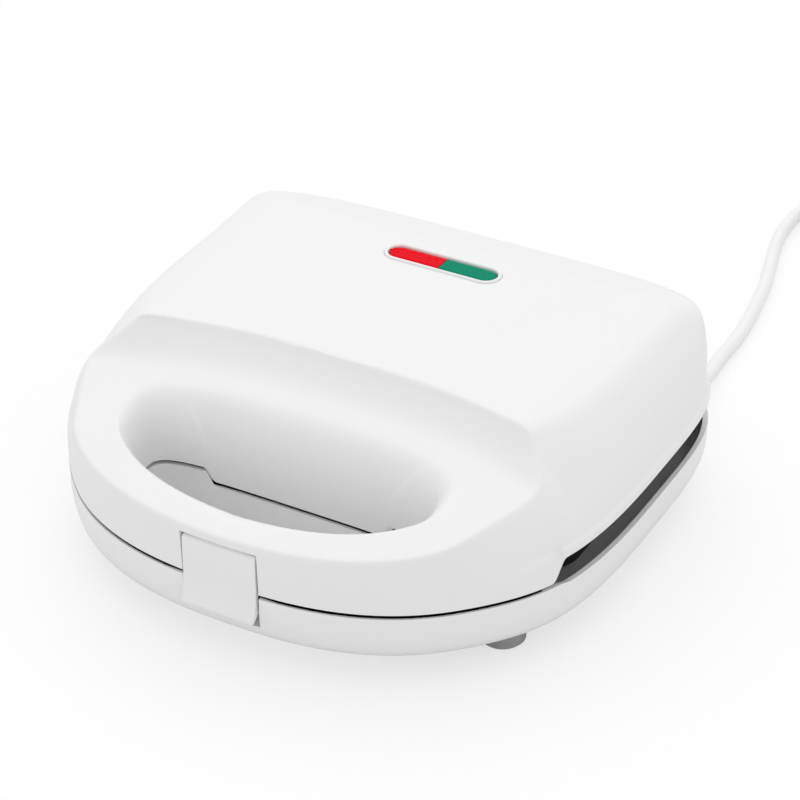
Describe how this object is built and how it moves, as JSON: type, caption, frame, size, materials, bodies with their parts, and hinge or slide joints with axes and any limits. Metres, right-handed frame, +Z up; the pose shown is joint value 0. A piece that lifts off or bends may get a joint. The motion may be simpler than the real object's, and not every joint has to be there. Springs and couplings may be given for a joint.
{
  "type": "sandwich toaster",
  "caption": "Electric sandwich toaster: two hinged non-stick plates in a glossy white housing with a hand hole, front latch, signal lamps and a mains cord",
  "frame": {"origin": "on the table, under the middle of the appliance without its cord", "axes": "+Z up, the front with hand hole and latch looks along -Y, +X to the right of someone facing the front"},
  "size_m": [0.3285, 0.5174, 0.0834],
  "materials": {
    "housing_white": "smooth satin gloss",
    "plate_coat": "black non-stick coat on cast metal",
    "element_steel": "plain steel",
    "ceramic": "fired ceramic",
    "sleeve": "moulded insulation",
    "lens_red": "clear-dyed plastic, red",
    "lens_green": "clear-dyed plastic, green",
    "lamp_glass": "clear glass",
    "foot_rubber": "grey rubber",
    "cord_white": "satin moulded cord and plug"
  },
  "bodies": {
    "base": {"base_housing": "housing_white", "cord_bushing": "housing_white", "lower_plate": "plate_coat", "lower_heater": "element_steel", "lower_straps": "element_steel", "lower_shield": "element_steel", "lower_strap_screws": "element_steel", "lower_plate_screws": "element_steel", "hinge_pin_left": "element_steel", "hinge_pin_right": "element_steel", "cord_clamp_screws": "element_steel", "plug_pins": "element_steel", "lower_heater_ends": "ceramic", "lower_spacers": "ceramic", "loom_sleeve": "sleeve", "terminal_block": "sleeve", "cord_clamp": "sleeve", "foot_front_left": "foot_rubber", "foot_front_right": "foot_rubber", "foot_rear_left": "foot_rubber", "foot_rear_right": "foot_rubber", "mains_cord": "cord_white", "cord_coil": "cord_white", "cord_tail": "cord_white", "plug_body": "cord_white"},
    "lid": {"upper_plate": "plate_coat", "upper_heater": "element_steel", "upper_straps": "element_steel", "upper_shield": "element_steel", "upper_strap_screws": "element_steel", "upper_plate_screws": "element_steel", "upper_heater_ends": "ceramic", "upper_spacers": "ceramic", "lid_housing": "housing_white", "thermostat": "ceramic", "thermal_fuse": "element_steel", "lens_bezel": "housing_white", "lens_red": "lens_red", "lens_green": "lens_green", "lamp_holder": "housing_white", "lamp_red": "lamp_glass", "lamp_green": "lamp_glass", "latch_pin": "element_steel", "latch_spring": "element_steel"},
    "latch": {"latch": "housing_white"}
  },
  "joints": [
    {"name": "lid_hinge", "type": "hinge", "parent": "base", "child": "lid", "pos_m": [0, 0.1055, 0.038], "axis": [-1, 0, 0], "range_deg": [0, 100]},
    {"name": "latch_hinge", "type": "hinge", "parent": "lid", "child": "latch", "pos_m": [0, -0.105, 0.0458], "axis": [-1, 0, 0], "range_deg": [0, 35], "stiffness_Nm_per_rad": 0.01}
  ]
}
